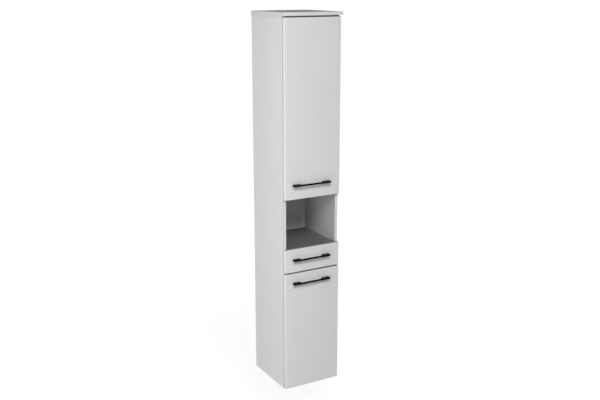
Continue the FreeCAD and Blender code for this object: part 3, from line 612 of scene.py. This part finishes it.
def bow_handle(node):
    """A flat bow handle: a soft-edged section carried from the left foot, along the bar, to the right foot.

    In plan an outer line goes up the leg, round its corner and along the bar, and an inner line goes beside
    it in as many steps, round the corner between leg and bar. At each step the section is the flat between
    the two lines, and at each line its edges are quarter circles: inwards by the round's radius, then out and
    down by its cosine and sine. A second point close to each end of a flat keeps the flat's shading level.
    """
    low, high = (np.array(corner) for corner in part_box(node))
    middle = (low + high) / 2
    half = (high[0] - low[0]) / 2
    gap = half - HANDLE_LEG
    door, front = high[1], low[1]
    rear = front + HANDLE_BAR
    wide, tight = HANDLE_END_ROUND, HANDLE_INNER_ROUND
    leg_steps, corner_steps, bar_steps = 10, 16, 40
    outer = np.concatenate(
        [
            straight_run((-half, door), (-half, front + wide), (-1.0, 0.0), leg_steps),
            corner_run((-half + wide, front + wide), wide, 1.0, corner_steps),
            straight_run((-half + wide, front), (0.0, front), (0.0, -1.0), bar_steps),
            [(0.0, front, 0.0, -1.0)],
        ]
    )
    inner = np.concatenate(
        [
            straight_run((-gap, door), (-gap, rear + tight), (1.0, 0.0), leg_steps),
            corner_run((-gap + tight, rear + tight), tight, -1.0, corner_steps),
            straight_run((-gap + tight, rear), (0.0, rear), (0.0, 1.0), bar_steps),
            [(0.0, rear, 0.0, 1.0)],
        ]
    )
    mirror = np.array([-1.0, 1.0, -1.0, 1.0])
    outer = np.concatenate([outer, outer[-2::-1] * mirror])
    inner = np.concatenate([inner, inner[-2::-1] * mirror])

    soft, level = HANDLE_EDGE_ROUND, HANDLE_EDGE_ROUND / 4
    thick = (high[2] - low[2]) / 2
    swing = np.radians(np.linspace(90, 0, 7))
    inset = np.concatenate([[soft + level], soft * (1 - np.cos(swing)), [0.0]])
    rise = np.concatenate([[thick], thick - soft + soft * np.sin(swing), [thick - soft - level]])
    inset = np.concatenate([inset, inset[::-1]])
    rise = np.concatenate([rise, -rise[::-1]])

    def edge(line):
        plan = line[:, None, :2] - inset[None, :, None] * line[:, None, 2:]
        return np.dstack([plan, np.broadcast_to(rise, plan.shape[:2])])

    section = np.concatenate([edge(outer), edge(inner)[:, ::-1]], axis=1)
    section += np.array([middle[0], 0.0, middle[2]])
    feet = np.repeat(section[[0, -1]].mean(axis=1, keepdims=True), section.shape[1], axis=1)
    return [np.concatenate([feet[:1], section, feet[1:]])]


def round_grid(radius):
    """Across-axis places of a round shape: a row for each radius, a column for each of its sides."""
    angle = np.linspace(0, 2 * np.pi, ROUND_SIDES, endpoint=False)
    return radius[:, None] * np.cos(angle), radius[:, None] * np.sin(angle)


def stand(low, high, axis, across, depth):
    """A round shape set in its solid's box; depth goes inwards from the end that the axis points to."""
    axis = np.array(axis)
    along = int(np.argmax(np.abs(axis)))
    first, second = (index for index in range(3) if index != along)
    centre = (low + high) / 2
    end = high[along] if axis[along] > 0 else low[along]
    points = np.empty((*across[0].shape, 3))
    points[..., first] = centre[first] + across[0]
    points[..., second] = centre[second] + across[1]
    points[..., along] = end - axis[along] * depth
    return points


def pan_screws(node, axis, shank_width):
    """Pan-head screws, one surface of revolution each.

    The head falls from its middle as a power of the radius, then comes a straight rim, a flat seat, the shank
    and its point. A cross recess goes into the head: full depth within two crossed bars, falling off at their
    sides and ends.
    """
    along = int(np.argmax(np.abs(axis)))
    shank = shank_width / 2
    dome, rim, recess_depth = 0.5 * SCREW_HEAD, 0.78 * SCREW_HEAD, 0.6 * SCREW_HEAD
    dome_power, seat = 2.6, 0.95
    bar_half, bar_fall, tip_end, tip_fall = 0.17, 0.07, 0.64, 0.3
    screws = []
    for low, high in solid_boxes(node):
        length = (high - low)[along]
        head = np.delete(high - low, along).max() / 2
        share = np.linspace(0.0, 1.0, 26)
        radius = np.concatenate([head * share, [head, seat * head, shank, shank, 0.0]])
        below = [rim, SCREW_HEAD, SCREW_HEAD, length - 2 * shank, length]
        depth = np.concatenate([dome * share**dome_power, below])
        across = round_grid(radius)
        short = np.minimum(*np.abs(across))
        long = np.maximum(*np.abs(across))
        bar = np.clip((bar_half * head - short) / (bar_fall * head), 0.0, 1.0)
        tip = np.clip((tip_end * head - long) / (tip_fall * head), 0.0, 1.0)
        recess = recess_depth * bar * tip * (np.arange(len(radius)) < len(share))[:, None]
        screws.append(stand(low, high, axis, across, depth[:, None] + recess))
    return screws


def soft_stops(node, axis):
    """Low clear stops: each a shallow cap, its height the square root of one less the radius squared."""
    along = int(np.argmax(np.abs(axis)))
    stops = []
    for low, high in solid_boxes(node):
        height = (high - low)[along]
        wide = np.delete(high - low, along).max() / 2
        share = np.sin(np.linspace(0.0, np.pi / 2, 16))
        radius = np.concatenate([wide * share, [wide, 0.0]])
        depth = np.concatenate([0.7 * height * (1 - np.sqrt(1 - share**2)), [height, height]])
        stops.append(stand(low, high, axis, round_grid(radius), depth[:, None] + np.zeros(ROUND_SIDES)))
    return stops


def shelf_pegs(node):
    """Turned shelf pegs: a round nose, a shallow waist between two rims, and a plain stem in the side.

    The nose is a quarter of an oval, and the waist is a cosine dip in the radius.
    """
    nose_length, waist_start, waist_length = 0.5, 0.3, 0.12
    waist_middle, waist_swing = 0.93, 0.07
    pegs = []
    for low, high in solid_boxes(node):
        inward = -np.sign(low[0] + high[0])
        length, wide = (high - low)[0], (high - low)[2] / 2
        share = np.sin(np.linspace(0.0, np.pi / 2, 10))
        dip = np.linspace(0.0, 1.0, 13)
        waist = wide * (waist_middle + waist_swing * np.cos(2 * np.pi * dip))
        nose = nose_length * wide * (1 - np.sqrt(1 - share**2))
        radius = np.concatenate([wide * share, waist, [wide, 0.0]])
        depth = np.concatenate([nose, length * (waist_start + waist_length * dip), [length, length]])
        place = depth[:, None] + np.zeros(ROUND_SIDES)
        pegs.append(stand(low, high, (inward, 0.0, 0.0), round_grid(radius), place))
    return pegs


def seen_directly(nodes, links):
    """One for rays from the camera, and for those that shine or pass through a piece."""
    path = nodes.new("ShaderNodeLightPath")
    first = nodes.new("ShaderNodeMath")
    first.operation = "MAXIMUM"
    second = nodes.new("ShaderNodeMath")
    second.operation = "MAXIMUM"
    links.new(path.outputs["Is Camera Ray"], first.inputs[0])
    links.new(path.outputs["Is Glossy Ray"], first.inputs[1])
    links.new(first.outputs["Value"], second.inputs[0])
    links.new(path.outputs["Is Transmission Ray"], second.inputs[1])
    return second.outputs["Value"]


def make_floor():
    """A wide pale floor under the hanging cabinet: white to the camera, and it keeps a soft shadow."""
    half = FLOOR_SIZE / 2
    corners = np.array([(-half, -half), (half, -half), (half, half), (-half, half)])
    points = np.column_stack([corners, np.full(4, -FLOOR_DROP)])
    mesh = bpy.data.meshes.new("floor")
    mesh.from_pydata(points.tolist(), [], [(0, 1, 2, 3)])
    floor = bpy.data.objects.new("floor", mesh)
    bpy.context.scene.collection.objects.link(floor)

    material, nodes, links, shader = new_material("pale_floor")
    cloud = spread(nodes, links, object_noise(nodes, links, 0.5), 0.0, 1.0)
    tone = two_tones(nodes, links, cloud, grey(FLOOR_TONE * 0.995), grey(FLOOR_TONE))
    links.new(tone, shader.inputs["Base Color"])
    shader.inputs["Roughness"].default_value = 0.9
    shader.inputs["Specular IOR Level"].default_value = 0.0
    glow = nodes.new("ShaderNodeEmission")
    glow.inputs["Strength"].default_value = FLOOR_GLOW
    mix = nodes.new("ShaderNodeMixShader")
    coordinates = nodes.new("ShaderNodeTexCoord")
    away = nodes.new("ShaderNodeVectorMath")
    away.operation = "LENGTH"
    share = nodes.new("ShaderNodeMapRange")
    share.inputs["From Min"].default_value = FLOOR_NEAR[0]
    share.inputs["From Max"].default_value = FLOOR_FAR[0]
    share.inputs["To Min"].default_value = FLOOR_NEAR[1]
    share.inputs["To Max"].default_value = FLOOR_FAR[1]
    seen = nodes.new("ShaderNodeMath")
    seen.operation = "MULTIPLY"
    links.new(coordinates.outputs["Object"], away.inputs[0])
    links.new(away.outputs["Value"], share.inputs["Value"])
    links.new(share.outputs["Result"], seen.inputs[0])
    links.new(seen_directly(nodes, links), seen.inputs[1])
    links.new(seen.outputs["Value"], mix.inputs["Fac"])
    links.new(shader.outputs["BSDF"], mix.inputs[1])
    links.new(glow.outputs["Emission"], mix.inputs[2])
    links.new(mix.outputs["Shader"], nodes["Material Output"].inputs["Surface"])
    mesh.materials.append(material)


def make_world(fill):
    """White all round to the camera and in reflections, and a weak even fill for everything else."""
    world = bpy.data.worlds.new("white_room")
    bpy.context.scene.world = world
    world.use_nodes = True
    nodes, links = world.node_tree.nodes, world.node_tree.links
    background = nodes["Background"]
    strength = nodes.new("ShaderNodeMapRange")
    strength.inputs["To Min"].default_value = fill
    strength.inputs["To Max"].default_value = 1.0
    links.new(seen_directly(nodes, links), strength.inputs["Value"])
    background.inputs["Color"].default_value = (1.0, 1.0, 1.0, 1.0)
    links.new(strength.outputs["Result"], background.inputs["Strength"])


def lamp(name, azimuth, elevation, distance, width, height, watts):
    """A soft flat lamp: azimuth 0 is straight in front, negative to the left; elevation is above the aim."""
    turn, rise = radians(azimuth), radians(elevation)
    away = np.array([sin(turn) * cos(rise), -cos(turn) * cos(rise), sin(rise)])
    data = bpy.data.lights.new(name, "AREA")
    data.shape = "RECTANGLE"
    data.size = width
    data.size_y = height
    data.energy = watts
    light = bpy.data.objects.new(name, data)
    light.location = np.array(LAMP_AIM) + distance * away
    light.visible_camera = False
    light.rotation_euler = (radians(90 - elevation), 0.0, turn)
    bpy.context.scene.collection.objects.link(light)


def make_camera():
    """The photograph's viewpoint, level from side to side."""
    data = bpy.data.cameras.new("view")
    data.lens = CAMERA_LENS
    data.sensor_width = SENSOR_WIDTH
    data.sensor_fit = "HORIZONTAL"
    data.clip_end = 100.0
    camera = bpy.data.objects.new("view", data)
    camera.location = CAMERA_PLACE
    camera.rotation_euler = (radians(90 - CAMERA_PITCH), 0.0, -radians(CAMERA_YAW))
    bpy.context.scene.collection.objects.link(camera)
    bpy.context.scene.camera = camera


def make_pieces():
    """Handles, screws, stops and pegs, each in the place of its CAD node."""
    coat, nickel = MATERIALS["handle_black"], MATERIALS["bright_steel"]
    for front in ("upper", "drawer", "lower"):
        node = f"{front}_handle"
        new_piece(f"{front}_bow_handle", bow_handle(node), node, coat)
    screws = [(f"{front}_handle_screws", (0, 1, 0), HANDLE_SHANK) for front in ("upper", "drawer", "lower")]
    screws += [(f"hinge_cup_screws_{door}", (0, 1, 0), HINGE_SHANK) for door in ("lower_door", "upper_door")]
    screws += [
        ("hinge_plate_screws", (-1, 0, 0), HINGE_SHANK),
        ("hinge_arm_screws", (-1, 0, 0), HANDLE_SHANK),
        ("hanger_screws", (0, -1, 0), HANGER_SHANK),
    ]
    for node, axis, width in screws:
        new_piece(f"cross_head_{node}", pan_screws(node, axis, width), node, nickel)
    stops = soft_stops("front_bumpers", (0, -1, 0))
    new_piece("clear_stops", stops, "front_bumpers", clear_rubber())
    new_piece("turned_shelf_pegs", shelf_pegs("shelf_pins"), "shelf_pins", nickel)


make_pieces()
make_floor()
make_world(WORLD_FILL)
for row in LAMPS:
    lamp(*row)
make_camera()
bpy.context.scene.view_settings.view_transform = "Standard"

bpy.context.view_layer.update()
